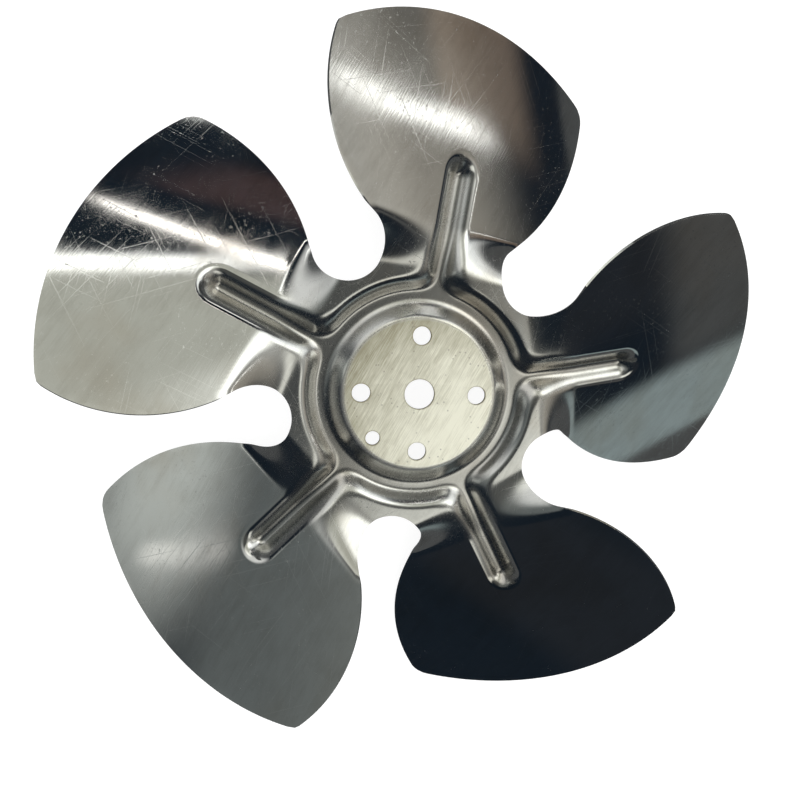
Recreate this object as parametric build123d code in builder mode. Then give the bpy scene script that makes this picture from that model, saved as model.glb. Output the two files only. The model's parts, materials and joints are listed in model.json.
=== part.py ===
# Exhaust fan blade: five pitched blades round a hub disc, pressed in one piece from aluminium sheet.
# Millimetres. Origin: the middle of the shaft hole on the upper face of the hub disc. +Z is up the shaft.
# The fixing holes lie on the X and Y axes.

import os
from math import atan, atan2, cos, degrees, hypot, radians, sin, sqrt, tan

from build123d import *

# Whole blade
sheet = 1.0
tip_radius = 100.0
blade_count = 5
blade_phase = 81.9

# Holes in the hub disc
bore_radius = 4.2
fixing_hole_radius = 2.55
fixing_circle_radius = 16.2
fixing_hole_count = 4
locating_hole_radius = 2.0
locating_circle_radius = 17.8
locating_angle = 225.0

# Ring groove round the hub disc, measured on the upper face where the flats and the walls meet
disc_radius = 21.3
inner_wall_width = 4.2
ring_floor_width = 3.4
outer_wall_width = 2.7
ring_depth = 4.0

# Bends of the grooves: along their floors, along the lip of the hub disc and along the other lips
bend_radius = 0.8
disc_lip_radius = 1.5
lip_radius = 0.4

# Flat sheet left between the ring groove and the blades, and between it and the rounded notches
root_land = 1.3
notch_land = 3.8
notch_radius = 9.8

# Plan of a blade that points along +Y, its lower edge at +X
lower_corner = (39.8, 92.6)
lower_edge_radius = 55.0
lower_corner_radius = 5.7
upper_corner = (-37.6, 84.6)
upper_edge_radius = 40.0
upper_corner_radius = 3.0

# Form of a blade: length of its twist, pitch angles, camber and the drop of its middle line towards the tip
twist_length = 14.5
root_pitch = 27.1
tip_pitch = 32.7
camber_radius = 417.0
tip_drop = 4.0

# Rib groove along the middle of a blade
rib_floor_width = 2.3
rib_wall_angle = 50.0
rib_length = 27.7
rib_end_depth = 4.2
rib_tilt_share = 0.6
rib_floor_step = 0.05

# Room for the trimming shapes, well outside the sheet, and how near an edge lies to its expected place
spare = 6.0
reach = 2.0 * tip_radius
close_by = 0.1

# Number of sections drawn along the twist, along the rest of a blade and along a rib groove
twist_steps = 7
outer_steps = 8
rib_steps = 12

# Distances from the shaft that follow from these sizes
floor_inner_radius = disc_radius + inner_wall_width
floor_outer_radius = floor_inner_radius + ring_floor_width
ring_outer_radius = floor_outer_radius + outer_wall_width
root_line = ring_outer_radius + root_land
notch_circle_radius = ring_outer_radius + notch_land + notch_radius
twist_end = root_line + twist_length
rib_end_radius = root_line + rib_length


# Slope of a blade across its middle line, at a distance from the shaft
def ramp(y):
    share = min(max((y - root_line) / (twist_end - root_line), 0.0), 1.0)
    return share * share * (3.0 - 2.0 * share)


def slope(y):
    gain = (tan(radians(tip_pitch)) - tan(radians(root_pitch))) / (tip_radius - twist_end)
    return ramp(y) * tan(radians(root_pitch)) + gain * max(y - twist_end, 0.0)


# Height of the upper face of a blade on its middle line
def middle(y):
    return -tip_drop * ramp(y) * (y - root_line) / (tip_radius - root_line)


# Upright plane across a blade, its own x along X and its own y along Z
def across(y):
    return Plane.XZ.offset(-y)


# Curve across a blade: the upper face moved down by a distance square to the sheet
def cross_curve(y, down, half_width, reverse=False):
    lowered = middle(y) - down * sqrt(1.0 + slope(y) ** 2)
    bow = ramp(y) * half_width**2 / (2.0 * camber_radius)
    left = (-half_width, lowered + slope(y) * half_width - bow)
    right = (half_width, lowered - slope(y) * half_width - bow)
    return [right, (0.0, lowered + bow), left] if reverse else [left, (0.0, lowered + bow), right]


# Distances from the shaft at which a blade is drawn
twist_stations = [root_line + (twist_end - root_line) * i / twist_steps for i in range(twist_steps + 1)]
outer_length = tip_radius + spare - twist_end
outer_stations = [twist_end + outer_length * (i + 1) / outer_steps for i in range(outer_steps)]
stations = twist_stations + outer_stations
strip_half_width = max(lower_corner[0], -upper_corner[0]) + spare


# Strip of sheet across a blade between two distances below its upper face
def strip(y, top, bottom):
    with BuildSketch(across(y)) as section:
        with BuildLine():
            upper = Bezier(*cross_curve(y, top, strip_half_width))
            lower = Bezier(*cross_curve(y, bottom, strip_half_width, True))
            Line(upper @ 1, lower @ 0)
            Line(lower @ 1, upper @ 0)
        make_face()
    return section.sketch


# Centre of an edge curve that runs through a corner and touches the notch
def edge_centre(notch_centre, corner, edge_radius, side):
    gap = (corner[0] - notch_centre[0], corner[1] - notch_centre[1])
    length = hypot(*gap)
    along = ((notch_radius + edge_radius) ** 2 - edge_radius**2 + length**2) / (2.0 * length)
    off = side * sqrt((notch_radius + edge_radius) ** 2 - along**2)
    return (
        notch_centre[0] + (along * gap[0] - off * gap[1]) / length,
        notch_centre[1] + (along * gap[1] + off * gap[0]) / length,
    )


# Point at a distance from a centre on the way to another point
def towards(centre, target, distance):
    gap = hypot(target[0] - centre[0], target[1] - centre[1])
    return (
        centre[0] + (target[0] - centre[0]) * distance / gap,
        centre[1] + (target[1] - centre[1]) * distance / gap,
    )


# Arc between two points round a centre, the short way
def round_arc(start, end, centre, radius):
    half_way = ((start[0] + end[0]) / 2.0, (start[1] + end[1]) / 2.0)
    ThreePointArc(start, towards(centre, half_way, radius), end)


half_step = radians(180.0 / blade_count)
lower_notch = (notch_circle_radius * sin(half_step), notch_circle_radius * cos(half_step))
upper_notch = (-lower_notch[0], lower_notch[1])
lower_bottom = towards((0.0, 0.0), lower_notch, notch_circle_radius - notch_radius)
upper_bottom = (-lower_bottom[0], lower_bottom[1])
lower_centre = edge_centre(lower_notch, lower_corner, lower_edge_radius, 1.0)
upper_centre = edge_centre(upper_notch, upper_corner, upper_edge_radius, -1.0)
lower_touch = towards(lower_notch, lower_centre, notch_radius)
upper_touch = towards(upper_notch, upper_centre, notch_radius)

# One blade, pointing along +Y
with BuildPart() as blade:
    loft([strip(y, 0.0, sheet) for y in stations])
    with BuildSketch() as plan:
        with BuildLine():
            round_arc(lower_bottom, lower_touch, lower_notch, notch_radius)
            round_arc(lower_touch, lower_corner, lower_centre, lower_edge_radius)
            ThreePointArc(lower_corner, (0.0, tip_radius), upper_corner)
            round_arc(upper_corner, upper_touch, upper_centre, upper_edge_radius)
            round_arc(upper_touch, upper_bottom, upper_notch, notch_radius)
            Polyline(upper_bottom, (0.0, 0.0), lower_bottom)
        make_face()
        fillet(plan.vertices().sort_by_distance(lower_corner)[0], lower_corner_radius)
        fillet(plan.vertices().sort_by_distance(upper_corner)[0], upper_corner_radius)
    extrude(amount=reach, both=True, mode=Mode.INTERSECT)

# Flat middle of the sheet, with one straight side for each blade
with BuildPart() as middle_plate:
    with BuildSketch(Plane.XY.offset(-sheet)):
        RegularPolygon(root_line, blade_count, major_radius=False, rotation=blade_phase - degrees(half_step))
    extrude(amount=sheet)
    with BuildSketch(Plane.XY.offset(-sheet)):
        with PolarLocations(notch_circle_radius, blade_count, start_angle=blade_phase + degrees(half_step)):
            Circle(notch_radius)
    extrude(amount=sheet, mode=Mode.SUBTRACT)

# Walls of the ring groove, as the slopes of its upper face
inner_run = inner_wall_width / ring_depth
outer_run = outer_wall_width / ring_depth
inner_shift = sheet * tan(atan(1.0 / inner_run) / 2.0)
outer_shift = sheet * tan(atan(1.0 / outer_run) / 2.0)

# Hollow of the ring groove, carried on above the sheet
with BuildPart() as ring_hollow:
    with BuildSketch(Plane.XZ) as ring_upper:
        with BuildLine():
            Polyline(
                (floor_inner_radius, -ring_depth),
                (floor_outer_radius, -ring_depth),
                (ring_outer_radius + outer_run * sheet, sheet),
                (disc_radius - inner_run * sheet, sheet),
                close=True,
            )
        make_face()
        fillet(ring_upper.vertices().group_by(Axis.Y)[0], bend_radius)
    revolve(axis=Axis.Z)

# Underside of the ring groove, one sheet thickness outside the hollow and ending inside the flat sheet
with BuildPart() as ring_under:
    with BuildSketch(Plane.XZ) as ring_lower:
        with BuildLine():
            rise = ring_depth + sheet / 2.0
            Polyline(
                (floor_inner_radius - inner_shift, -ring_depth - sheet),
                (floor_outer_radius + outer_shift, -ring_depth - sheet),
                (floor_outer_radius + outer_shift + outer_run * rise, -sheet / 2.0),
                (floor_inner_radius - inner_shift - inner_run * rise, -sheet / 2.0),
                close=True,
            )
        make_face()
        fillet(ring_lower.vertices().group_by(Axis.Y)[0], bend_radius + sheet)
    revolve(axis=Axis.Z)

# Rib groove: floor height, lean and section, which turns with the blade by a share of its slope
ring_middle = (floor_inner_radius + floor_outer_radius) / 2.0
rib_stations = [ring_middle] + [root_line + rib_length * i / rib_steps for i in range(rib_steps + 1)]


def rib_floor(y):
    share = max(y - root_line, 0.0) / rib_length
    return middle(y) - (ring_depth - rib_floor_step) * (1.0 - share) - rib_end_depth * share


def rib_lean(y):
    return rib_tilt_share * atan(slope(y))


# Corners of half a rib section at a height range above its floor, leaning with the rib
def rib_corners(y, outside, height, side):
    lean = rib_lean(y)
    half_floor = rib_floor_width / 2.0 + outside * tan(radians(rib_wall_angle) / 2.0)
    half_top = half_floor + (height + outside) / tan(radians(rib_wall_angle))
    corners = [(side * half_floor, -outside), (side * half_top, height)]
    return [(u * cos(lean) + v * sin(lean), rib_floor(y) - u * sin(lean) + v * cos(lean)) for u, v in corners]


def rib_section(y, outside, height):
    right_low, right_high = rib_corners(y, outside, height, 1.0)
    left_low, left_high = rib_corners(y, outside, height, -1.0)
    with BuildSketch(across(y)) as section:
        with BuildLine():
            Polyline(left_low, right_low, right_high, left_high, close=True)
        make_face()
        low_points = [section.vertices().sort_by_distance(p)[0] for p in (left_low, right_low)]
        fillet(low_points, bend_radius + outside)
    return section.sketch


# Rounded outer end of a rib, half a section to be turned about the rib's own upright
def rib_half_section(outside, height):
    y = rib_end_radius
    lean = rib_lean(y)
    low, high = rib_corners(y, outside, height, 1.0)
    foot = (-outside * sin(lean), rib_floor(y) - outside * cos(lean))
    head = (height * sin(lean), rib_floor(y) + height * cos(lean))
    with BuildSketch(across(y)) as section:
        with BuildLine():
            Polyline(foot, low, high, head, close=True)
        make_face()
        fillet(section.vertices().sort_by_distance(low)[0], bend_radius + outside)
    return section.sketch


rib_upright = Axis(
    (0.0, rib_end_radius, rib_floor(rib_end_radius)),
    (sin(rib_lean(rib_end_radius)), 0.0, cos(rib_lean(rib_end_radius))),
)

# Hollow of a rib groove, carried on above the sheet
with BuildPart() as rib_hollow:
    loft([rib_section(y, 0.0, ring_depth + spare) for y in rib_stations])
    revolve(rib_half_section(0.0, ring_depth + spare), axis=rib_upright, revolution_arc=180.0)

# Space under the middle of the sheet of a blade
with BuildPart() as under_blade:
    loft([strip(y, sheet / 2.0, 3.0 * ring_depth + spare) for y in [disc_radius] + stations], ruled=True)

# Underside of a rib groove, one sheet thickness outside the hollow and ending inside the blade
with BuildPart() as rib_under:
    loft([rib_section(y, sheet, ring_depth + spare) for y in rib_stations])
    revolve(rib_half_section(sheet, ring_depth + spare), axis=rib_upright, revolution_arc=180.0)
    add(under_blade.part, mode=Mode.INTERSECT)


# Place of a point seen from the blade that it belongs to, and how far it lies below the upper face there
def blade_place(point):
    step = 360.0 / blade_count
    turn = radians(blade_phase - 90.0 + step * round((degrees(atan2(point.Y, point.X)) - blade_phase) / step))
    x = point.X * cos(turn) + point.Y * sin(turn)
    y = point.Y * cos(turn) - point.X * sin(turn)
    return x, y, middle(y) - slope(y) * x - ramp(y) * x**2 / (2.0 * camber_radius) - point.Z


# Edge of the hub disc, where the inner wall of the ring groove starts
def is_disc_lip(edge):
    x, y, depth = blade_place(edge @ 0.5)
    return abs(depth) < close_by and abs(hypot(x, y) - disc_radius) < close_by


# Edges where the outer wall of the ring groove and the walls of the ribs meet the upper face
def is_outer_lip(edge):
    x, y, depth = blade_place(edge @ 0.5)
    rib_room = rib_floor_width / 2.0 + 2.0 * ring_depth
    by_ring = abs(hypot(x, y) - ring_outer_radius) < close_by
    by_rib = abs(x) < rib_room and ring_outer_radius < y < rib_end_radius + rib_room
    on_root_line = max(abs(blade_place(edge @ end)[1] - root_line) for end in (0.0, 1.0)) < close_by
    return abs(depth) < close_by and (by_ring or by_rib) and not on_root_line


# The whole pressing
with BuildPart() as fan_blade:
    add(middle_plate.part)
    add(ring_under.part)
    with PolarLocations(0.0, blade_count, start_angle=blade_phase - 90.0):
        add(blade.part)
        add(rib_under.part)
    add(ring_hollow.part, mode=Mode.SUBTRACT)
    with PolarLocations(0.0, blade_count, start_angle=blade_phase - 90.0):
        add(rib_hollow.part, mode=Mode.SUBTRACT)
    fillet(fan_blade.edges().filter_by(is_outer_lip), lip_radius)
    fillet(fan_blade.edges().filter_by(is_disc_lip), disc_lip_radius)
    Hole(bore_radius)
    with PolarLocations(fixing_circle_radius, fixing_hole_count):
        Hole(fixing_hole_radius)
    with PolarLocations(locating_circle_radius, 1, start_angle=locating_angle):
        Hole(locating_hole_radius)

fan_blade.part.label = "fan_blade"
os.makedirs("parts", exist_ok=True)
export_step(fan_blade.part, "parts/fan_blade.step")
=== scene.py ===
"""Exhaust fan blade: five pitched blades and a hub disc, pressed from one aluminium sheet.

It lies on a pale floor under soft panel lights.
"""

import json
import math

import bmesh
import bpy
import numpy as np
from mathutils import Matrix, Vector
from mathutils.kdtree import KDTree


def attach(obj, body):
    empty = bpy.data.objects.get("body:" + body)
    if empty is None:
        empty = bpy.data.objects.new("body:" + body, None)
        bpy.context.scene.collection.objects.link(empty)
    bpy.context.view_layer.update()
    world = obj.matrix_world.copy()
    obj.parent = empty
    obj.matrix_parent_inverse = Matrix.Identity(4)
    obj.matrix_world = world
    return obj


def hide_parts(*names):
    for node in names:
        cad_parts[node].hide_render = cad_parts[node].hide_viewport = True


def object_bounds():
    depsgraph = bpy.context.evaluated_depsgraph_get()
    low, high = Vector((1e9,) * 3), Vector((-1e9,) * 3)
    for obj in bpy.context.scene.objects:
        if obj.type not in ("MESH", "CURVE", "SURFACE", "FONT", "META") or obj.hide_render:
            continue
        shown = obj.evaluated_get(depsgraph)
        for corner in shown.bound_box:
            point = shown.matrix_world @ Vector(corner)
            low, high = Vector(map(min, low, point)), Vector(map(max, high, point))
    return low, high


bl_info = {
    "name": "Pressed fan blade",
    "version": (1, 0, 0),
    "blender": (4, 5, 0),
    "location": "View3D > Sidebar > Fan blade",
    "description": "Builds the pressed aluminium fan blade, its finish and its stage",
    "category": "Object",
}

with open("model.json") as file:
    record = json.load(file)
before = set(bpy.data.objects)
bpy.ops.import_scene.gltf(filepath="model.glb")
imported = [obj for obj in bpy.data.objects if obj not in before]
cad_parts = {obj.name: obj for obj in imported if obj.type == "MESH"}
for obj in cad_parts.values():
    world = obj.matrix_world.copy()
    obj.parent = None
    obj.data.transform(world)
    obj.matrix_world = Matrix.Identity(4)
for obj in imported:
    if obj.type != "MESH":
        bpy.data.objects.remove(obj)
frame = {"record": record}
CAD_LOW, CAD_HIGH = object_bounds()
MM = 0.001
MOUNTS = {mount["name"]: mount for mount in frame["record"]["mounts"]}
BORE_RADIUS = MOUNTS["shaft_hole"]["dims"]["r_mm"] * MM
FIXING_HOLES = MOUNTS["fixing_holes"]["dims"]
FIXING_COUNT = FIXING_HOLES["count"]
FIXING_RADIUS = FIXING_HOLES["hole_r_mm"] * MM
FIXING_CIRCLE = FIXING_HOLES["pcd_mm"] * MM / 2
LOCATING_RADIUS = MOUNTS["locating_hole"]["dims"]["r_mm"] * MM
LOCATING_PLACE = MOUNTS["locating_hole"]["pos_m"][:2]


def length(name, description, default):
    """A size in metres that a user may change."""
    return bpy.props.FloatProperty(
        name=name, description=description, default=default, unit="LENGTH", precision=5
    )


def angle(name, description, degrees):
    """An angle that a user may change, given in degrees."""
    return bpy.props.FloatProperty(
        name=name, description=description, default=math.radians(degrees), subtype="ANGLE"
    )


def plan_point(name, description, x, y):
    """A point on the plan of a blade that a user may move."""
    return bpy.props.FloatVectorProperty(
        name=name, description=description, default=(x, y), size=2, unit="LENGTH", precision=5
    )


def share(name, description, default):
    """A share from 0 to 1, or a plain factor."""
    return bpy.props.FloatProperty(
        name=name, description=description, default=default, precision=4
    )


def pair(name, description, default):
    """Two plain numbers that a user may change."""
    return bpy.props.FloatVectorProperty(
        name=name, description=description, default=default, size=2
    )


def paint(name, description, default):
    """A linear colour that a user may change."""
    return bpy.props.FloatVectorProperty(
        name=name,
        description=description,
        default=default,
        size=3,
        subtype="COLOR",
        min=0.0,
        max=1.0,
    )


class SheetSizes(bpy.types.PropertyGroup):
    """Sizes of the pressed sheet."""

    thickness: length("Sheet thickness", "Thickness of the aluminium sheet", 1.0 * MM)
    edge_round: length("Edge rounding", "Rounding of the sheared edges", 0.16 * MM)
    tip_radius: length("Tip radius", "Distance from the shaft to the tip of a blade", 100.0 * MM)
    blade_count: bpy.props.IntProperty(
        name="Blades", description="Number of blades", default=5, min=3
    )
    blade_phase: angle("First blade", "Direction of the first blade from the X axis", 81.9)
    bore_radius: length("Shaft hole radius", "Radius of the hole for the shaft", BORE_RADIUS)
    fixing_radius: length("Fixing hole radius", "Radius of a fixing hole", FIXING_RADIUS)
    fixing_circle: length("Fixing circle", "Radius of the fixing holes' circle", FIXING_CIRCLE)
    locating_radius: length("Locating hole radius", "Radius of the small hole", LOCATING_RADIUS)
    locating_place: plan_point("Locating hole", "Middle of the small hole", *LOCATING_PLACE)
    disc_radius: length("Disc radius", "Where the hub disc meets the ring groove", 21.3 * MM)
    inner_wall: length("Inner wall width", "Plan width of the ring groove's inner wall", 4.2 * MM)
    ring_floor: length("Ring floor width", "Width of the ring groove's floor", 3.4 * MM)
    outer_wall: length("Outer wall width", "Plan width of the ring groove's outer wall", 2.7 * MM)
    ring_depth: length("Ring depth", "Depth of the ring groove", 4.0 * MM)
    root_land: length("Root land", "Flat sheet between the ring groove and a blade", 1.3 * MM)
    notch_land: length("Notch land", "Flat sheet between the ring groove and a notch", 3.8 * MM)
    notch_radius: length("Notch radius", "Radius of the notch between two blades", 9.8 * MM)
    lower_corner: plan_point("Lower corner", "Corner of the low edge", 39.8 * MM, 92.6 * MM)
    lower_edge_radius: length("Lower edge radius", "Radius of the low edge", 55.0 * MM)
    lower_corner_radius: length("Lower corner rounding", "Rounding of that corner", 5.7 * MM)
    upper_corner: plan_point("Upper corner", "Corner of the high edge", -37.6 * MM, 84.6 * MM)
    upper_edge_radius: length("Upper edge radius", "Radius of the high edge", 40.0 * MM)
    upper_corner_radius: length("Upper corner rounding", "Rounding of that corner", 3.0 * MM)
    twist_length: length(
        "Twist length", "Length over which a blade turns out of the hub plane", 14.5 * MM
    )
    root_pitch: angle("Root pitch", "Pitch of a blade where its twist ends", 27.1)
    tip_pitch: angle("Tip pitch", "Pitch of a blade at its tip", 32.7)
    camber_radius: length("Camber radius", "Radius of the bow across a blade", 417.0 * MM)
    tip_drop: length("Tip drop", "Drop of a blade's middle line at its tip", 4.0 * MM)
    rib_floor: length("Rib floor width", "Width of a rib groove's floor", 2.3 * MM)
    rib_wall: angle("Rib wall angle", "Angle of a rib groove's walls", 50.0)
    rib_length: length("Rib length", "Length of a rib groove from the root line", 27.7 * MM)
    rib_end_depth: length("Rib end depth", "Depth of a rib groove at its outer end", 4.2 * MM)
    rib_lean: share("Rib lean", "Share of the blade's pitch that a rib groove follows", 0.6)
    disc_lip_round: length(
        "Disc lip rounding", "Height over which the hub disc's lip is rounded", 0.55 * MM
    )
    lip_round: length("Lip rounding", "Height over which the other lips are rounded", 2.2 * MM)
    floor_round: length("Floor rounding", "Height over which floors are rounded", 1.2 * MM)
    junction_round: length(
        "Junction rounding", "Height over which a rib runs into the ring", 7.0 * MM
    )
    centre_half: length(
        "Middle strip", "Half width of the strip of fine mesh along a rib", 7.0 * MM
    )
    edge_inset: share("Edge inset", "Share by which the tips are drawn in", 0.0025)
    flat_radius: length("Flat disc", "Radius inside which the disc is quite flat", 20.4 * MM)


class SheetFinish(bpy.types.PropertyGroup):
    """Colours and texture of the aluminium sheet."""

    bright: paint("Bright metal", "Colour of clean sheet", (0.78, 0.785, 0.765))
    dull: paint("Dull metal", "Colour of handled sheet", (0.62, 0.615, 0.585))
    tarnish: paint("Tarnish", "Warm film in the grooves", (0.60, 0.52, 0.42))
    hub_tint: paint("Hub film", "Warm film on the hub disc", (0.76, 0.75, 0.62))
    # Also paints the shade line at the rims of the holes in the disc.
    hub_stain_and_rim_shade: paint("Hub stain", "Darker film in streaks on the disc", (0.24, 0.22, 0.13))
    scratch: paint("Scratch", "Colour of a fresh scratch", (0.93, 0.93, 0.91))
    pit: paint("Pit", "Colour of a small dark pit", (0.23, 0.21, 0.18))
    roughness: share("Roughness", "Roughness of clean sheet", 0.05)
    grain_angle: angle("Grain direction", "Direction of the rolled grain from the X axis", 62.0)


class StageSettings(bpy.types.PropertyGroup):
    """Floor, room and camera."""

    floor_colour: paint("Floor", "Colour of the floor", (0.20, 0.20, 0.20))
    floor_glow: share("Floor glow", "Light of the floor, which keeps shadows faint", 0.90)
    floor_mirrored: share("Mirrored floor", "Brightness of the floor in the metal", 0.10)
    mirrored_tint: paint("Mirrored tint", "Colour of the floor in the metal", (0.75, 0.78, 0.80))
    room: paint("Room", "Dark room that the metal mirrors", (0.009, 0.014, 0.021))
    backdrop: paint("Backdrop", "What is seen past the floor", (0.90, 0.90, 0.90))
    camera_distance: length("Camera distance", "From the camera to the hub", 188.5 * MM)
    camera_lean: pair("Camera lean", "Lean of the hub's axis as it is seen", (0.1535, -0.1451))
    camera_turn: angle("Camera turn", "Turn of the picture about the shaft", 2.0)
    lens: bpy.props.FloatProperty(
        name="Lens", description="Focal length in millimetres", default=30.6
    )
    shift: pair("Shift", "Shift of the picture", (-0.0244, -0.0071))


# A point within a blade, on the side of an edge where the middle of the edge's arc lies.
BLADE_INSIDE = (0.0, 60.0 * MM)
# Rounds in which the height of a leaning rib wall is found.
LEAN_ROUNDS = 12


def smooth_min(a, b, width):
    """The lower of two heights, rounded where they are closer than a width."""
    part = np.clip(0.5 + 0.5 * (b - a) / width, 0.0, 1.0)
    return b * (1.0 - part) + a * part - width * part * (1.0 - part)


def smooth_max(a, b, width):
    """The higher of two heights, rounded where they are closer than a width."""
    return -smooth_min(-a, -b, width)


class SheetForm:
    """Heights and outline of the sheet for a blade along +Y, with its low edge at +X."""

    def __init__(self, sizes):
        self.s = sizes
        self.floor_inner = sizes.disc_radius + sizes.inner_wall
        self.floor_outer = self.floor_inner + sizes.ring_floor
        self.ring_outer = self.floor_outer + sizes.outer_wall
        self.root_line = self.ring_outer + sizes.root_land
        self.notch_bottom = self.ring_outer + sizes.notch_land
        self.notch_circle = self.notch_bottom + sizes.notch_radius
        self.twist_end = self.root_line + sizes.twist_length
        self.rib_end = self.root_line + sizes.rib_length
        self.half_step = math.pi / sizes.blade_count

    def ramp(self, y):
        """Share of the twist that is reached, 0 at the root line and 1 where it ends."""
        part = np.clip((y - self.root_line) / (self.twist_end - self.root_line), 0.0, 1.0)
        return part * part * (3.0 - 2.0 * part)

    def slope(self, y):
        """Fall of the sheet across a blade."""
        root, tip = math.tan(self.s.root_pitch), math.tan(self.s.tip_pitch)
        gain = (tip - root) / (self.s.tip_radius - self.twist_end)
        return self.ramp(y) * root + gain * np.maximum(y - self.twist_end, 0.0)

    def middle(self, y):
        """Height of a blade's middle line."""
        drop = -self.s.tip_drop * self.ramp(y) * (y - self.root_line)
        return drop / (self.s.tip_radius - self.root_line)

    def unpressed(self, x, y):
        """Height of the upper face before the grooves are pressed."""
        bow = self.ramp(y) * x * x / (2.0 * self.s.camber_radius)
        return self.middle(y) - self.slope(y) * x - bow

    def groove(self, x, y):
        """Height of the floor and the walls of the grooves."""
        s = self.s
        r = np.hypot(x, y)
        inner = -(r - s.disc_radius) * s.ring_depth / s.inner_wall
        outer = (r - self.ring_outer) * s.ring_depth / s.outer_wall
        lean = s.rib_lean * np.arctan(self.slope(y))
        part = np.maximum(y - self.root_line, 0.0) / s.rib_length
        floor_middle = self.middle(y) - s.ring_depth * (1.0 - part) - s.rib_end_depth * part
        past_end = np.maximum(y - self.rib_end, 0.0) + np.maximum(self.floor_outer - y, 0.0)
        rise = np.zeros_like(x)
        for _ in range(LEAN_ROUNDS):
            across = (x - rise * np.sin(lean)) / np.cos(lean)
            rise = (np.hypot(across, past_end) - s.rib_floor / 2.0) * math.tan(s.rib_wall)
        across = (x - rise * np.sin(lean)) / np.cos(lean)
        rib_walls = floor_middle - across * np.sin(lean) + rise * np.cos(lean)
        floor = floor_middle - np.tan(lean) * x
        walls = np.maximum(inner, smooth_min(outer, rib_walls, s.junction_round))
        return smooth_max(floor, walls, s.floor_round)

    def upper_face(self, x, y):
        """Height of the upper face of the pressed sheet."""
        on_disc_side = np.hypot(x, y) < (self.floor_inner + self.floor_outer) / 2.0
        lip = np.where(on_disc_side, self.s.disc_lip_round, self.s.lip_round)
        return smooth_min(self.unpressed(x, y), self.groove(x, y), lip)

    def tip_circle(self):
        """Middle and radius of the circle through both outer corners and the tip."""
        tip = Vector((0.0, self.s.tip_radius))
        corners = Vector(self.s.lower_corner), Vector(self.s.upper_corner)
        rows = [[2.0 * (corner.x - tip.x), 2.0 * (corner.y - tip.y)] for corner in corners]
        sums = [corner.length_squared - tip.length_squared for corner in corners]
        middle = Vector(np.linalg.solve(rows, sums))
        return middle, (tip - middle).length

    def tip_line(self, x):
        """How far out the tip's edge lies at a place across the blade."""
        middle, radius = self.tip_circle()
        return middle.y + np.sqrt(radius**2 - (x - middle.x) ** 2)

    def side_outline(self, side):
        """Outline of one side in two paths that end half way round its corner: one from the
        bottom of the notch along the edge, and one from the middle strip along the tip."""
        s = self.s
        corner = Vector(s.lower_corner if side > 0 else s.upper_corner)
        edge_radius = s.lower_edge_radius if side > 0 else s.upper_edge_radius
        corner_radius = s.lower_corner_radius if side > 0 else s.upper_corner_radius
        direction = Vector((side * math.sin(self.half_step), math.cos(self.half_step)))
        notch = direction * self.notch_circle
        bottom = direction * self.notch_bottom
        edge_middle = meeting(
            notch, s.notch_radius + edge_radius, corner, edge_radius, Vector(BLADE_INSIDE)
        )
        touch = notch + (edge_middle - notch).normalized() * s.notch_radius
        tip_middle, tip_radius = self.tip_circle()
        round_middle = meeting(
            tip_middle,
            tip_radius - corner_radius,
            edge_middle,
            edge_radius - corner_radius,
            corner,
        )
        round_start = edge_middle + (round_middle - edge_middle).normalized() * edge_radius
        round_end = tip_middle + (round_middle - tip_middle).normalized() * tip_radius
        outwards = ((round_start + round_end) / 2.0 - round_middle).normalized()
        half_way = round_middle + outwards * corner_radius
        strip_x = side * s.centre_half
        strip_end = Vector((strip_x, self.tip_line(strip_x)))
        edge = (
            arc(notch, bottom, touch),
            arc(edge_middle, touch, round_start),
            arc(round_middle, round_start, half_way),
        )
        tip = arc(tip_middle, strip_end, round_end), arc(round_middle, round_end, half_way)
        return np.concatenate(edge), np.concatenate(tip)


def meeting(first, first_radius, second, second_radius, near):
    """The crossing of two circles that lies nearer to a point."""
    gap = second - first
    along = (first_radius**2 - second_radius**2 + gap.length_squared) / (2.0 * gap.length)
    off = math.sqrt(first_radius**2 - along**2)
    step = gap.normalized()
    square = Vector((-step.y, step.x))
    found = [first + step * along + square * off * turn for turn in (1.0, -1.0)]
    return min(found, key=lambda point: (point - near).length)


def arc(middle, start, end, count=160):
    """Points on the short arc from start to end round a middle."""
    first = math.atan2(start.y - middle.y, start.x - middle.x)
    last = math.atan2(end.y - middle.y, end.x - middle.x)
    sweep = (last - first + math.pi) % (2.0 * math.pi) - math.pi
    turn = first + sweep * np.linspace(0.0, 1.0, count)
    radius = (start - middle).length
    return np.stack([middle.x + radius * np.cos(turn), middle.y + radius * np.sin(turn)], axis=1)


def spaced(path, shares):
    """Points at given shares of the length of a path."""
    steps = np.hypot(*np.diff(path, axis=0).T)
    reached = np.concatenate([[0.0], np.cumsum(steps)])
    wanted = np.asarray(shares) * reached[-1]
    return np.stack([np.interp(wanted, reached, path[:, i]) for i in (0, 1)], axis=1)


# Rows of faces on the hub, along the ribs and from there to the tip, and columns beside and on
# the middle strip.
HUB_ROWS = 30
RIB_ROWS = 58
TIP_ROWS = 27
SIDE_COLUMNS = 18
MIDDLE_COLUMNS = 36
# Share of a blade's length that the rows along the ribs take up.
RIB_SHARE = 0.5
# The rows of a blade start on a circle inside the notches, by one such part of the notch land.
NOTCH_LAND_PARTS = 5.0
# Steps round the holes, and the band of faces at each hole.
BORE_STEPS = 72
FIXING_STEPS = 48
LOCATING_STEPS = 40
HOLE_BAND = 0.3 * MM
# Vertices closer than this are one.
SEAM_WIDTH = 0.001 * MM
# How far from a circle a vertex may lie and still be on it.
CIRCLE_TOLERANCE = 0.01 * MM
# Distance from an edge over which its wear fades.
EDGE_REACH = 3.0 * MM


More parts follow.
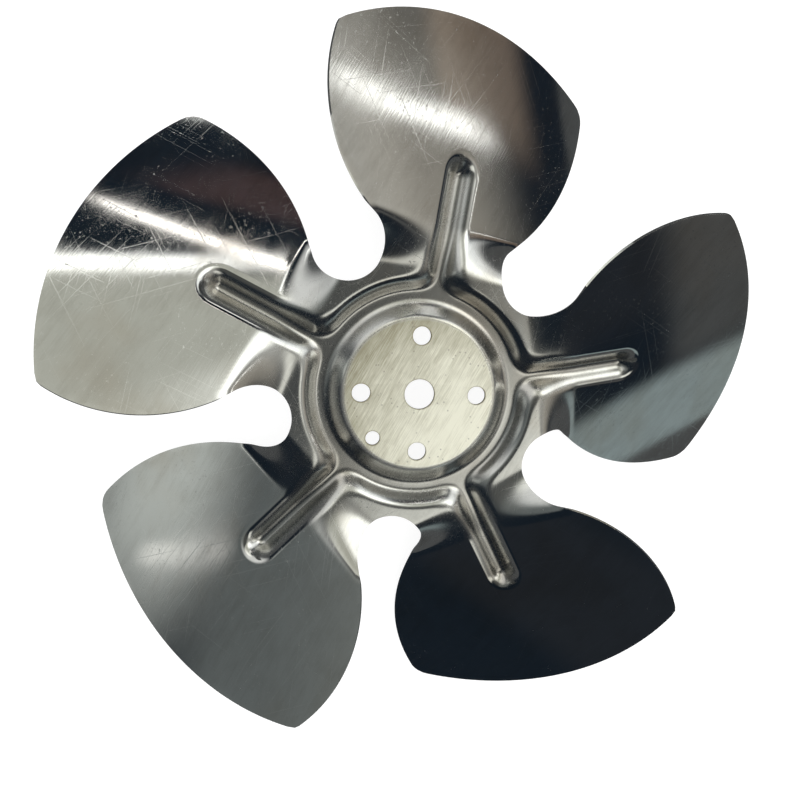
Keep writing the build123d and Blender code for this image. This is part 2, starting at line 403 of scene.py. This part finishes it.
def side_patch(form, side, rows, root_radius):
    """Plan points of the sheet beside the middle strip, as rows from the hub outwards."""
    edge_path, tip_path = form.side_outline(side)
    strip_x = side * form.s.centre_half
    strip_root = math.sqrt(root_radius**2 - strip_x**2)
    columns = np.linspace(0.0, 1.0, SIDE_COLUMNS + 1)
    strip_turn = math.atan2(strip_x, strip_root)
    turns = strip_turn + (side * form.half_step - strip_turn) * columns
    root = np.stack([root_radius * np.sin(turns), root_radius * np.cos(turns)], axis=1)
    tip = spaced(tip_path, columns)
    inner_y = strip_root + (tip[0, 1] - strip_root) * rows
    inner = np.stack([np.full_like(rows, strip_x), inner_y], axis=1)
    edge_shares = (rows[1:] - rows[1]) / (1.0 - rows[1])
    edge = np.concatenate([root[-1:], spaced(edge_path, edge_shares)])
    u = columns[None, :, None]
    v = rows[:, None, None]
    ruled = (1.0 - u) * inner[:, None] + u * edge[:, None] + (1.0 - v) * root[None] + v * tip[None]
    corners = (1.0 - u) * (1.0 - v) * root[0] + u * (1.0 - v) * root[-1]
    corners = corners + (1.0 - u) * v * tip[0] + u * v * tip[-1]
    return ruled - corners


def sector_plan(form):
    """Plan points of one blade and its share of the hub, as rows from the flat disc to the tip."""
    s = form.s
    root_radius = form.notch_bottom - s.notch_land / NOTCH_LAND_PARTS
    near = np.linspace(0.0, RIB_SHARE, RIB_ROWS + 1)
    far = RIB_SHARE + (1.0 - RIB_SHARE) * np.linspace(0.0, 1.0, TIP_ROWS + 1)[1:]
    rows = np.concatenate([near, far])
    left = side_patch(form, -1.0, rows, root_radius)[:, ::-1]
    right = side_patch(form, 1.0, rows, root_radius)
    x = np.linspace(-s.centre_half, s.centre_half, MIDDLE_COLUMNS + 1)[1:-1]
    low = np.sqrt(root_radius**2 - x**2)
    high = form.tip_line(x)
    y = low[None] + (high - low)[None] * rows[:, None]
    strip = np.stack([np.broadcast_to(x, y.shape), y], axis=2)
    blade = np.concatenate([left, strip, right], axis=1)
    blade = blade * (1.0 - s.edge_inset * rows[:, None, None])
    turns = np.arctan2(blade[0, :, 0], blade[0, :, 1])
    radii = np.linspace(s.flat_radius, root_radius, HUB_ROWS + 1)[:-1]
    hub = np.stack([radii[:, None] * np.sin(turns), radii[:, None] * np.cos(turns)], axis=2)
    return np.concatenate([hub, blade])


def ring_of(bm, middle, radius, count):
    """A closed loop of vertices round a point on the flat disc."""
    loop = []
    for i in range(count):
        turn = 2.0 * math.pi * i / count
        x = middle[0] + radius * math.cos(turn)
        y = middle[1] + radius * math.sin(turn)
        loop.append(bm.verts.new((x, y, 0.0)))
    return loop


def add_hub_disc(bm, sizes, outer_edges):
    """Fills the flat disc round its holes, with a narrow band of faces at each hole."""
    holes = [((0.0, 0.0), sizes.bore_radius, BORE_STEPS)]
    for number in range(FIXING_COUNT):
        turn = Matrix.Rotation(2.0 * math.pi * number / FIXING_COUNT, 2)
        place = turn @ Vector((sizes.fixing_circle, 0.0))
        holes.append((place, sizes.fixing_radius, FIXING_STEPS))
    holes.append((sizes.locating_place, sizes.locating_radius, LOCATING_STEPS))
    edges = list(outer_edges)
    for middle, radius, count in holes:
        rim = ring_of(bm, middle, radius, count)
        outer = ring_of(bm, middle, radius + HOLE_BAND, count)
        for i in range(count):
            j = (i + 1) % count
            bm.faces.new((rim[i], outer[i], outer[j], rim[j]))
            edges.append(bm.edges.get((outer[i], outer[j])))
    bmesh.ops.triangle_fill(
        bm, edges=edges, use_beauty=True, use_dissolve=False, normal=(0.0, 0.0, 1.0)
    )


def on_circle(edge, radius):
    """Whether both ends of an edge lie on a circle round the shaft."""
    return all(abs(vert.co.xy.length - radius) < CIRCLE_TOLERANCE for vert in edge.verts)


def add_blades(bm, sizes, groove_layer):
    """The upper face of all blades with their shares of the hub, up to the flat disc."""
    form = SheetForm(sizes)
    plan = sector_plan(form)
    x, y = plan[..., 0], plan[..., 1]
    z = form.upper_face(x, y)
    depth = np.clip((form.unpressed(x, y) - z) / sizes.ring_depth, 0.0, 1.0)
    row_count, column_count = x.shape
    for number in range(sizes.blade_count):
        turn = sizes.blade_phase - math.pi / 2.0 + 2.0 * math.pi * number / sizes.blade_count
        px = x * math.cos(turn) - y * math.sin(turn)
        py = x * math.sin(turn) + y * math.cos(turn)
        grid = []
        for r in range(row_count):
            line = []
            for c in range(column_count):
                vert = bm.verts.new((px[r, c], py[r, c], z[r, c]))
                vert[groove_layer] = depth[r, c]
                line.append(vert)
            grid.append(line)
        for r in range(row_count - 1):
            for c in range(column_count - 1):
                bm.faces.new((grid[r][c], grid[r][c + 1], grid[r + 1][c + 1], grid[r + 1][c]))
    bmesh.ops.remove_doubles(bm, verts=bm.verts, dist=SEAM_WIDTH)


def mark_edges(bm, edge_layer):
    """Marks each vertex with its nearness to an edge of the sheet, from 1 down to 0."""
    rim = [vert for vert in bm.verts if vert.is_boundary]
    tree = KDTree(len(rim))
    for i, vert in enumerate(rim):
        tree.insert(vert.co, i)
    tree.balance()
    for vert in bm.verts:
        vert[edge_layer] = max(0.0, 1.0 - tree.find(vert.co)[2] / EDGE_REACH)


def sheet_mesh(sizes):
    """The upper face of the pressed sheet, with measures for its finish at each vertex."""
    bm = bmesh.new()
    groove_layer = bm.verts.layers.float.new("groove_depth")
    edge_layer = bm.verts.layers.float.new("edge_nearness")
    add_blades(bm, sizes, groove_layer)
    outer_edges = [e for e in bm.edges if e.is_boundary and on_circle(e, sizes.flat_radius)]
    add_hub_disc(bm, sizes, outer_edges)
    bmesh.ops.recalc_face_normals(bm, faces=bm.faces)
    if sum(face.normal.z for face in bm.faces) < 0.0:
        bmesh.ops.reverse_faces(bm, faces=bm.faces)
    mark_edges(bm, edge_layer)
    for face in bm.faces:
        face.smooth = True
    mesh = bpy.data.meshes.new("pressed_sheet")
    bm.to_mesh(mesh)
    bm.free()
    return mesh


class Wire:
    """A node socket that takes part in sums; each sum adds a Math node."""

    def __init__(self, tree, socket=None):
        self.tree = tree
        self.socket = socket

    def make(self, kind, settings=None, inputs=None, output=0):
        """Adds a node, sets its settings and then its sockets, and gives one of its outputs."""
        node = self.tree.nodes.new(kind)
        for name, value in (settings or {}).items():
            setattr(node, name, value)
        for key, value in (inputs or {}).items():
            if isinstance(value, Wire):
                self.tree.links.new(value.socket, node.inputs[key])
            else:
                node.inputs[key].default_value = value
        return Wire(self.tree, node.outputs[output])

    def sum(self, operation, first, second):
        return self.make("ShaderNodeMath", {"operation": operation}, {0: first, 1: second})

    def __add__(self, other):
        return self.sum("ADD", self, other)

    __radd__ = __add__

    def __sub__(self, other):
        return self.sum("SUBTRACT", self, other)

    def __rsub__(self, other):
        return self.sum("SUBTRACT", other, self)

    def __mul__(self, other):
        return self.sum("MULTIPLY", self, other)

    __rmul__ = __mul__

    def least(self, other):
        return self.sum("MINIMUM", self, other)

    def most(self, other):
        return self.sum("MAXIMUM", self, other)

    def fade(self, low, high):
        """0 below low, 1 above high and smooth between."""
        settings = {"interpolation_type": "SMOOTHSTEP"}
        inputs = {"Value": self, "From Min": low, "From Max": high}
        return self.make("ShaderNodeMapRange", settings, inputs)

    def blend(self, first, second):
        """One colour at 0 and another at 1."""
        settings = {"data_type": "RGBA"}
        inputs = {0: self, 6: rgba(first), 7: rgba(second)}
        return self.make("ShaderNodeMix", settings, inputs, output=2)


def rgba(colour):
    """A colour for a socket, with its alpha."""
    return colour if isinstance(colour, Wire) else (*colour, 1.0)


def new_material(name):
    """An empty node material, a wire to start its nodes from and its output node."""
    material = bpy.data.materials.new(name)
    material.use_nodes = True
    material.node_tree.nodes.clear()
    output = material.node_tree.nodes.new("ShaderNodeOutputMaterial")
    return material, Wire(material.node_tree), output


def measure(start, name):
    """A measure that the mesh holds at each vertex."""
    return start.make("ShaderNodeAttribute", {"attribute_name": name}, output=2)


def stretched(start, place, turn, along, across, seed):
    """Sheet coordinates turned in plan and scaled along and across a direction."""
    turned = start.make(
        "ShaderNodeVectorRotate", {"rotation_type": "Z_AXIS"}, {"Vector": place, "Angle": -turn}
    )
    scaled = start.make(
        "ShaderNodeVectorMath", {"operation": "MULTIPLY"}, {0: turned, 1: (along, across, 0.0)}
    )
    moved = {0: scaled, 1: (seed, 1.7 * seed, 0.0)}
    return start.make("ShaderNodeVectorMath", {"operation": "ADD"}, moved)


def cloud(start, place, scale, detail=2.0, roughness=0.5, dimensions="2D"):
    """Soft noise of a scale."""
    inputs = {"Vector": place, "Scale": scale, "Detail": detail, "Roughness": roughness}
    return start.make("ShaderNodeTexNoise", {"noise_dimensions": dimensions}, inputs)


# Layers of noise on the sheet: direction from the X axis, or None for the direction of the grain,
# scales along and across it, seed, detail and roughness.
NOISES = {
    "grain": (None, 60.0, 2600.0, 0.0, 3.0, 0.6),
    "coarse_grain": (None, 14.0, 500.0, 3.0, 2.0, 0.5),
    "brushed": (None, 110.0, 4200.0, 9.0, 3.0, 0.7),
    "mottle": (None, 110.0, 300.0, 13.0, 4.0, 0.65),
    "patches": (0.4, 38.0, 38.0, 7.0, 3.0, 0.55),
    "warmth": (1.9, 24.0, 36.0, 41.0, 3.0, 0.55),
    "smears": (0.9, 26.0, 70.0, 19.0, 2.0, 0.5),
    "wave": (0.2, 30.0, 30.0, 5.0, 1.0, 0.4),
}
# Sets of scratches: direction from the X axis, scales along and across it, seed, and the noise
# above which a scratch shows.
SCRATCHES = (
    (0.35, 26.0, 2600.0, 11.0, 0.835),
    (0.95, 20.0, 3000.0, 17.0, 0.835),
    (1.45, 32.0, 2500.0, 23.0, 0.830),
    (2.10, 24.0, 2800.0, 29.0, 0.835),
    (2.70, 28.0, 2700.0, 37.0, 0.835),
)
SCRATCH_FADE = 0.03
# Radii between which the film on the disc ends, its stain grows, and the bend at the blades'
# roots begins and ends.
HUB_EDGE = (20.0 * MM, 22.5 * MM)
STAIN_GROWTH = (12.0 * MM, 21.0 * MM)
BEND_START = (30.0 * MM, 34.0 * MM)
BEND_END = (40.0 * MM, 52.0 * MM)
# Direction in which the disc grows darker, and how much darker it grows per metre.
DISC_DARKENING_DIRECTION = (-0.7, 0.7, 0.0)
DISC_DARKENING_SLOPE = 22.0
# Scales of the noises that have no direction.
PIT_SCALE = 420.0
PIT_GROUPS = 150.0
SPECK_SCALE = 1100.0
SPECK_GROUPS = 60.0
WEAR_SCALE = 240.0
FINE_BUMP = {"Strength": 0.10, "Distance": 0.06 * MM}
WAVE_BUMP = {"Strength": 0.18, "Distance": 0.4 * MM}


def scratch_lines(start, place):
    """Fine straight scratches in several directions."""
    lines = None
    for turn, along, across, seed, low in SCRATCHES:
        line = cloud(start, stretched(start, place, turn, along, across, seed), 1.0, 0.0)
        line = line.fade(low, low + SCRATCH_FADE)
        lines = line if lines is None else lines.most(line)
    return lines


def aluminium_finish(finish):
    """Bright rolled aluminium with grain, scratches, specks, pits, dull patches, a warm film, and
    painted shade at the rims of the disc's holes.
    """
    material, start, output = new_material("aluminium_sheet")
    place = start.make("ShaderNodeTexCoord", output="Object")
    groove = measure(start, "groove_depth")
    edge = measure(start, "edge_nearness")
    radius = start.make("ShaderNodeVectorMath", {"operation": "LENGTH"}, {0: place}, "Value")
    hub = 1.0 - radius.fade(*HUB_EDGE)
    bend = radius.fade(*BEND_START) * (1.0 - radius.fade(*BEND_END))
    in_groove = groove.fade(0.02, 0.3)
    noise = {}
    for name, (turn, along, across, seed, detail, roughness) in NOISES.items():
        turn = finish.grain_angle if turn is None else turn
        layer = stretched(start, place, turn, along, across, seed)
        noise[name] = cloud(start, layer, 1.0, detail, roughness)
    grain, coarse_grain = noise["grain"], noise["coarse_grain"]
    mottle, patches = noise["mottle"], noise["patches"]
    warmth = noise["warmth"].fade(0.48, 0.72)
    smears = noise["smears"].fade(0.45, 0.75)
    scratches = scratch_lines(start, place) * (1.0 - groove.fade(0.05, 0.2)) * (1.0 - hub)
    specks = cloud(start, place, SPECK_SCALE, 1.0).fade(0.68, 0.76)
    specks = specks * cloud(start, place, SPECK_GROUPS).fade(0.40, 0.65)
    cells = {"Vector": place, "Scale": PIT_SCALE, "Randomness": 1.0}
    pits = start.make("ShaderNodeTexVoronoi", {"voronoi_dimensions": "2D"}, cells)
    pits = (1.0 - pits.fade(0.06, 0.13)) * cloud(start, place, PIT_GROUPS).fade(0.52, 0.62)
    pits = pits * (0.1 + 0.9 * hub)
    film = groove.fade(0.15, 0.9) * (0.35 + 0.65 * patches.fade(0.3, 0.7))
    worn = edge.fade(0.35, 0.95) * cloud(start, place, WEAR_SCALE).fade(0.35, 0.65) * (1.0 - hub)
    dullness = patches.fade(0.35, 0.7) * 0.35 + (grain - 0.5) * 0.5 + (coarse_grain - 0.5) * 0.4
    dullness = dullness + (mottle - 0.5) * 1.3
    colour = dullness.blend(finish.bright, finish.dull)
    colour = (warmth * 0.30).blend(colour, finish.tarnish)
    colour = (film * 0.25).blend(colour, finish.tarnish)
    stain_and_rim_shade = 0.25 + radius.fade(*STAIN_GROWTH) * 0.25
    stain_and_rim_shade = stain_and_rim_shade + (noise["brushed"] - 0.5) * 1.3 + (mottle - 0.5) * 0.8
    # The disc grows darker towards the upper left.
    direction = {0: place, 1: DISC_DARKENING_DIRECTION}
    across_disc = start.make(
        "ShaderNodeVectorMath", {"operation": "DOT_PRODUCT"}, direction, "Value"
    )
    # Near an edge of the disc, which is the rim of a hole, the colour takes a painted shade line.
    stain_and_rim_shade = stain_and_rim_shade + across_disc * DISC_DARKENING_SLOPE + edge.fade(0.88, 1.0) * 0.9
    hub_colour = stain_and_rim_shade.blend(finish.hub_tint, finish.hub_stain_and_rim_shade)
    colour = (hub * 0.9).blend(colour, hub_colour)
    colour = (scratches * 0.25).most(worn * 0.4).blend(colour, finish.scratch)
    colour = (pits * 0.6).blend(colour, finish.pit)
    rough = finish.roughness + 0.03 * patches + 0.03 * smears + 0.05 * (grain - 0.5) + 0.26 * hub
    rough = rough + 0.08 * scratches + 0.14 * specks + 0.06 * (mottle - 0.5) + 0.18 * in_groove
    rough = rough + 0.16 * bend * (1.0 - in_groove)
    height = 0.5 * grain + 0.10 * coarse_grain - 0.10 * scratches - 1.2 * pits
    fine = start.make("ShaderNodeBump", {}, {**FINE_BUMP, "Height": height})
    waves = {**WAVE_BUMP, "Height": noise["wave"], "Normal": fine}
    normal = start.make("ShaderNodeBump", {}, waves)
    shader = start.make(
        "ShaderNodeBsdfPrincipled",
        {},
        {"Base Color": colour, "Metallic": 1.0 - 0.42 * hub, "Roughness": rough, "Normal": normal},
    )
    material.node_tree.links.new(shader.socket, output.inputs["Surface"])
    return material


def floor_finish(settings):
    """Pale matt floor with a faint mottle, which the metal mirrors dimly."""
    material, start, output = new_material("pale_floor")
    place = start.make("ShaderNodeTexCoord", output="Object")
    mottle = cloud(start, place, 6.0, 3.0, 0.5, "3D")
    paler = tuple(min(1.0, 1.04 * c) for c in settings.floor_colour)
    matt = {
        "Base Color": mottle.blend(settings.floor_colour, paler),
        "Roughness": 0.8,
        "Emission Color": (1.0, 1.0, 1.0, 1.0),
        "Emission Strength": settings.floor_glow,
    }
    pale = start.make("ShaderNodeBsdfPrincipled", {}, matt)
    glow = {"Color": rgba(settings.mirrored_tint), "Strength": settings.floor_mirrored}
    dim = start.make("ShaderNodeEmission", {}, glow)
    mirrored = start.make("ShaderNodeLightPath", output="Is Glossy Ray")
    shader = start.make("ShaderNodeMixShader", {}, {0: mirrored, 1: pale, 2: dim})
    material.node_tree.links.new(shader.socket, output.inputs["Surface"])
    return material


# Edges sharper than this are rounded, in so many steps.
SHARP_ANGLE = math.radians(50.0)
ROUNDING_STEPS = 2


class FAN_OT_build_sheet(bpy.types.Operator):
    """Build the pressed aluminium sheet with its finish"""

    bl_idname = "fan.build_sheet"
    bl_label = "Build pressed sheet"

    def execute(self, context):
        sizes = context.scene.fan_sheet_sizes
        sheet = bpy.data.objects.new("pressed_sheet", sheet_mesh(sizes))
        context.scene.collection.objects.link(sheet)
        solid = sheet.modifiers.new("sheet_thickness", "SOLIDIFY")
        solid.thickness = sizes.thickness
        solid.offset = -1.0
        solid.use_even_offset = True
        solid.use_rim = True
        rounding = sheet.modifiers.new("sheared_edges", "BEVEL")
        rounding.width = sizes.edge_round
        rounding.segments = ROUNDING_STEPS
        rounding.limit_method = "ANGLE"
        rounding.angle_limit = SHARP_ANGLE
        rounding.harden_normals = True
        sheet.data.materials.append(aluminium_finish(context.scene.fan_sheet_finish))
        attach(sheet, "root")
        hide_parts("fan_blade")
        return {"FINISHED"}


PANEL_DISTANCE = 6.0
# Panels round the hub: name, direction from the X axis, height above the floor and roll in
# degrees, angles across and up in degrees, brightness, colour, and the share that fades.
PANELS = (
    ("key_panel", 76.0, 48.0, 0.0, (70.0, 36.0), 0.47, (1.0, 1.0, 0.87), 0.25),
    ("key_strip", 88.0, 32.0, 12.0, (22.0, 4.0), 1.8, (1.0, 1.0, 0.97), 0.7),
    ("low_strip", 82.5, 27.2, -38.0, (22.0, 1.0), 3.6, (1.0, 0.95, 0.90)),
    ("low_brown_card", 80.0, 20.0, -30.0, (20.0, 7.0), 0.05, (1.0, 0.55, 0.45)),
    ("low_white_card", 92.0, 3.0, 0.0, (64.0, 9.0), 1.5, (1.0, 1.0, 0.97)),
    ("left_panel", 127.0, 28.0, 0.0, (56.0, 72.0), 0.75, (1.0, 1.0, 0.97), 0.7),
    ("right_panel", 46.0, 32.0, 0.0, (42.0, 56.0), 1.15, (0.98, 1.0, 0.99)),
    ("ceiling_panel", 95.0, 76.0, 0.0, (90.0, 60.0), 0.07, (1.0, 0.96, 0.80), 0.9),
    ("side_panel", 14.0, 53.0, 0.0, (76.0, 54.0), 0.36, (1.0, 0.98, 0.90), 0.8),
    ("side_brown_card", -4.0, 27.0, 0.0, (60.0, 40.0), 0.30, (1.0, 0.92, 0.78), 0.8),
    ("side_low_card", 19.0, 14.0, 0.0, (14.0, 20.0), 0.14, (1.0, 0.74, 0.54)),
    ("side_strip", 12.2, 26.5, 6.0, (1.3, 32.0), 2.0, (1.0, 1.0, 0.98)),
    ("far_panel", 167.0, 20.0, 12.0, (24.0, 38.0), 0.52, (0.96, 1.0, 0.94), 0.9),
    ("far_strip", 170.5, 27.5, 12.5, (1.4, 18.0), 0.5, (1.0, 0.96, 0.92)),
    ("right_haze", -42.0, 27.0, 0.0, (9.0, 40.0), 0.06, (1.0, 0.96, 0.86)),
    ("far_top_panel", 166.0, 52.0, 0.0, (40.0, 44.0), 0.12, (0.93, 1.0, 0.95)),
    ("hub_panel", -50.0, 65.0, 0.0, (46.0, 28.0), 0.85, (1.0, 0.99, 0.90), 0.6),
    ("low_card", -50.0, 1.0, -6.0, (50.0, 26.0), 0.28, (0.84, 1.0, 1.0), 0.3),
    ("back_card", -75.0, 40.0, 0.0, (110.0, 34.0), 0.008, (1.0, 0.80, 0.62)),
)
# A panel that lights the floor and isn't mirrored.
FLOOR_PANEL = ("floor_panel", 60.0, 80.0, 0.0, (70.0, 70.0), 5.0, (1.0, 1.0, 1.0))
FLOOR_HALF_WIDTH = 2.5
FLOOR_SEGMENTS = 24
SENSOR_WIDTH = 36.0
CLIP_START = 0.005
CLIP_END = 20.0


def soft_light(scene, name, turn, height, roll, spread, brightness, colour, softness=0.5):
    """A panel light that faces the hub from a direction and fades towards its edges."""
    size = [2.0 * PANEL_DISTANCE * math.tan(math.radians(opening) / 2.0) for opening in spread]
    lamp = bpy.data.lights.new(name, "AREA")
    lamp.shape = "RECTANGLE"
    lamp.size, lamp.size_y = size
    lamp.energy = brightness * math.pi * size[0] * size[1]
    lamp.color = colour
    lamp.use_nodes = True
    start = Wire(lamp.node_tree)
    on_panel = start.make("ShaderNodeNewGeometry", output="Parametric")
    split = start.make("ShaderNodeSeparateXYZ", {}, {"Vector": on_panel}).socket.node
    across, up = (Wire(lamp.node_tree, split.outputs[i]) for i in (0, 1))
    fall = across.least(1.0 - across).fade(0.0, softness / 2.0)
    fall = fall * up.least(1.0 - up).fade(0.0, softness / 2.0)
    strength = lamp.node_tree.nodes["Emission"].inputs["Strength"]
    lamp.node_tree.links.new(fall.socket, strength)
    panel = bpy.data.objects.new(name, lamp)
    panel.visible_camera = False
    scene.collection.objects.link(panel)
    turn, height = math.radians(turn), math.radians(height)
    flat, rise = PANEL_DISTANCE * math.cos(height), PANEL_DISTANCE * math.sin(height)
    panel.location = place = Vector((flat * math.cos(turn), flat * math.sin(turn), rise))
    panel.rotation_euler = (-place).to_track_quat("-Z", "Y").to_euler()
    panel.rotation_euler.rotate_axis("Z", math.radians(roll))
    return panel


def add_floor(scene, settings):
    """The pale floor, level with the lowest point of the blades."""
    bm = bmesh.new()
    bmesh.ops.create_grid(
        bm, x_segments=FLOOR_SEGMENTS, y_segments=FLOOR_SEGMENTS, size=FLOOR_HALF_WIDTH
    )
    mesh = bpy.data.meshes.new("pale_floor")
    bm.to_mesh(mesh)
    bm.free()
    floor = bpy.data.objects.new("pale_floor", mesh)
    floor.location.z = CAD_LOW.z
    floor.data.materials.append(floor_finish(settings))
    scene.collection.objects.link(floor)
    return floor


def add_room(scene, settings):
    """A dark room for the metal to mirror, pale where it is seen past the floor."""
    world = bpy.data.worlds.new("studio")
    scene.world = world
    world.use_nodes = True
    start = Wire(world.node_tree)
    dark = start.make("ShaderNodeBackground", {}, {"Color": rgba(settings.room)})
    pale = start.make("ShaderNodeBackground", {}, {"Color": rgba(settings.backdrop)})
    in_sight = start.make("ShaderNodeLightPath", output="Is Camera Ray")
    studio = start.make("ShaderNodeMixShader", {}, {0: in_sight, 1: dark, 2: pale})
    surface = world.node_tree.nodes["World Output"].inputs["Surface"]
    world.node_tree.links.new(studio.socket, surface)


def add_camera(scene, settings):
    """The camera close above the hub, as the fan is seen in the picture."""
    lean = Vector((*settings.camera_lean, 0.0))
    axis = Vector((-lean.y, lean.x, 0.0)).normalized()
    seen = Matrix.Rotation(lean.length, 3, axis)
    turned = Matrix.Rotation(settings.camera_turn, 3, "Z") @ seen.transposed()
    data = bpy.data.cameras.new("camera")
    data.sensor_width = SENSOR_WIDTH
    data.lens = settings.lens
    data.shift_x, data.shift_y = settings.shift
    data.clip_start = CLIP_START
    data.clip_end = CLIP_END
    camera = bpy.data.objects.new("camera", data)
    scene.collection.objects.link(camera)
    place = turned @ Vector((0.0, 0.0, settings.camera_distance))
    camera.matrix_world = Matrix.Translation(place) @ turned.to_4x4()
    scene.camera = camera


class FAN_OT_build_stage(bpy.types.Operator):
    """Build the floor, the soft lights and the camera"""

    bl_idname = "fan.build_stage"
    bl_label = "Build stage"

    def execute(self, context):
        scene = context.scene
        settings = scene.fan_stage
        floor = add_floor(scene, settings)
        add_room(scene, settings)
        for panel in PANELS:
            soft_light(scene, *panel)
        floor_light = soft_light(scene, *FLOOR_PANEL)
        floor_light.visible_glossy = False
        scene.view_settings.view_transform = "Standard"
        add_camera(scene, settings)
        return {"FINISHED"}


class FAN_PT_panel(bpy.types.Panel):
    """Sizes, finish and stage of the fan blade"""

    bl_idname = "FAN_PT_panel"
    bl_label = "Fan blade"
    bl_space_type = "VIEW_3D"
    bl_region_type = "UI"
    bl_category = "Fan blade"

    def draw(self, context):
        layout = self.layout
        for group in ("fan_sheet_sizes", "fan_sheet_finish", "fan_stage"):
            box = layout.box()
            settings = getattr(context.scene, group)
            for name in settings.__annotations__:
                box.prop(settings, name)
        layout.operator("fan.build_sheet")
        layout.operator("fan.build_stage")


CLASSES = (
    SheetSizes,
    SheetFinish,
    StageSettings,
    FAN_OT_build_sheet,
    FAN_OT_build_stage,
    FAN_PT_panel,
)


def register():
    for cls in CLASSES:
        bpy.utils.register_class(cls)
    bpy.types.Scene.fan_sheet_sizes = bpy.props.PointerProperty(type=SheetSizes)
    bpy.types.Scene.fan_sheet_finish = bpy.props.PointerProperty(type=SheetFinish)
    bpy.types.Scene.fan_stage = bpy.props.PointerProperty(type=StageSettings)


def unregister():
    del bpy.types.Scene.fan_stage
    del bpy.types.Scene.fan_sheet_finish
    del bpy.types.Scene.fan_sheet_sizes
    for cls in reversed(CLASSES):
        bpy.utils.unregister_class(cls)


def main():
    register()
    bpy.ops.fan.build_stage()
    bpy.ops.fan.build_sheet()


if __name__ == "__main__":
    main()
